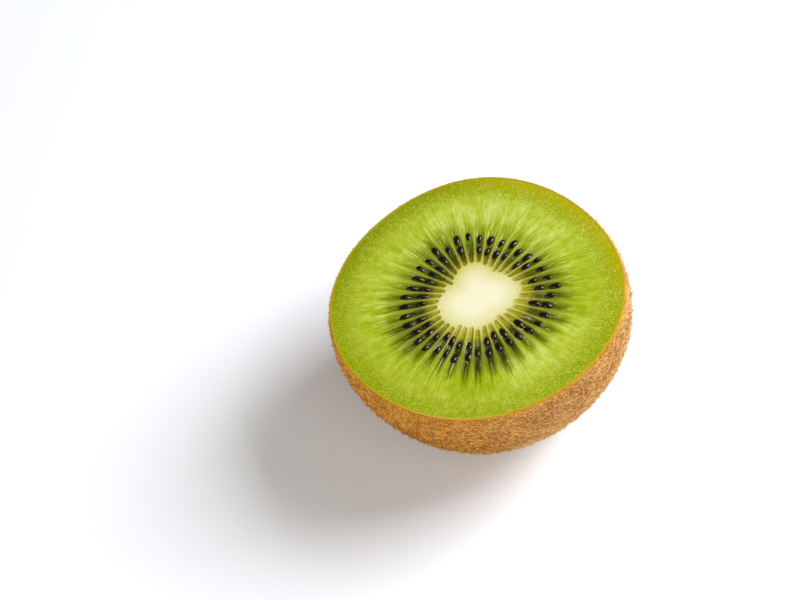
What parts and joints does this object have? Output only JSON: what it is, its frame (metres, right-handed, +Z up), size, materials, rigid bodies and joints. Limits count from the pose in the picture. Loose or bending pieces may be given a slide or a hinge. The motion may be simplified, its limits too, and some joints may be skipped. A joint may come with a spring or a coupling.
{
  "type": "kiwi fruit half",
  "caption": "Half of a fresh green kiwi fruit cut straight across: furry brown skin, green flesh, a ring of dark seeds and a pale core, resting on its round end.",
  "frame": {"origin": "middle of the fruit's box, on the surface that its round end rests on", "axes": "+Z up, out of the level cut face; +X and +Y lie in the plane of the cut, with the fruit's longest width near +X turned 13 degrees towards -Y"},
  "size_m": [0.0538, 0.0516, 0.0306],
  "materials": {
    "flesh": "moist, translucent green fruit flesh",
    "core": "moist cream fruit core",
    "skin": "thin brown fruit skin, rough and dry",
    "fuzz": "short stiff brown hairs",
    "seed": "wet, nearly black seed coat"
  },
  "bodies": {
    "root": {"flesh": "flesh", "core": "core"}
  },
  "joints": []
}
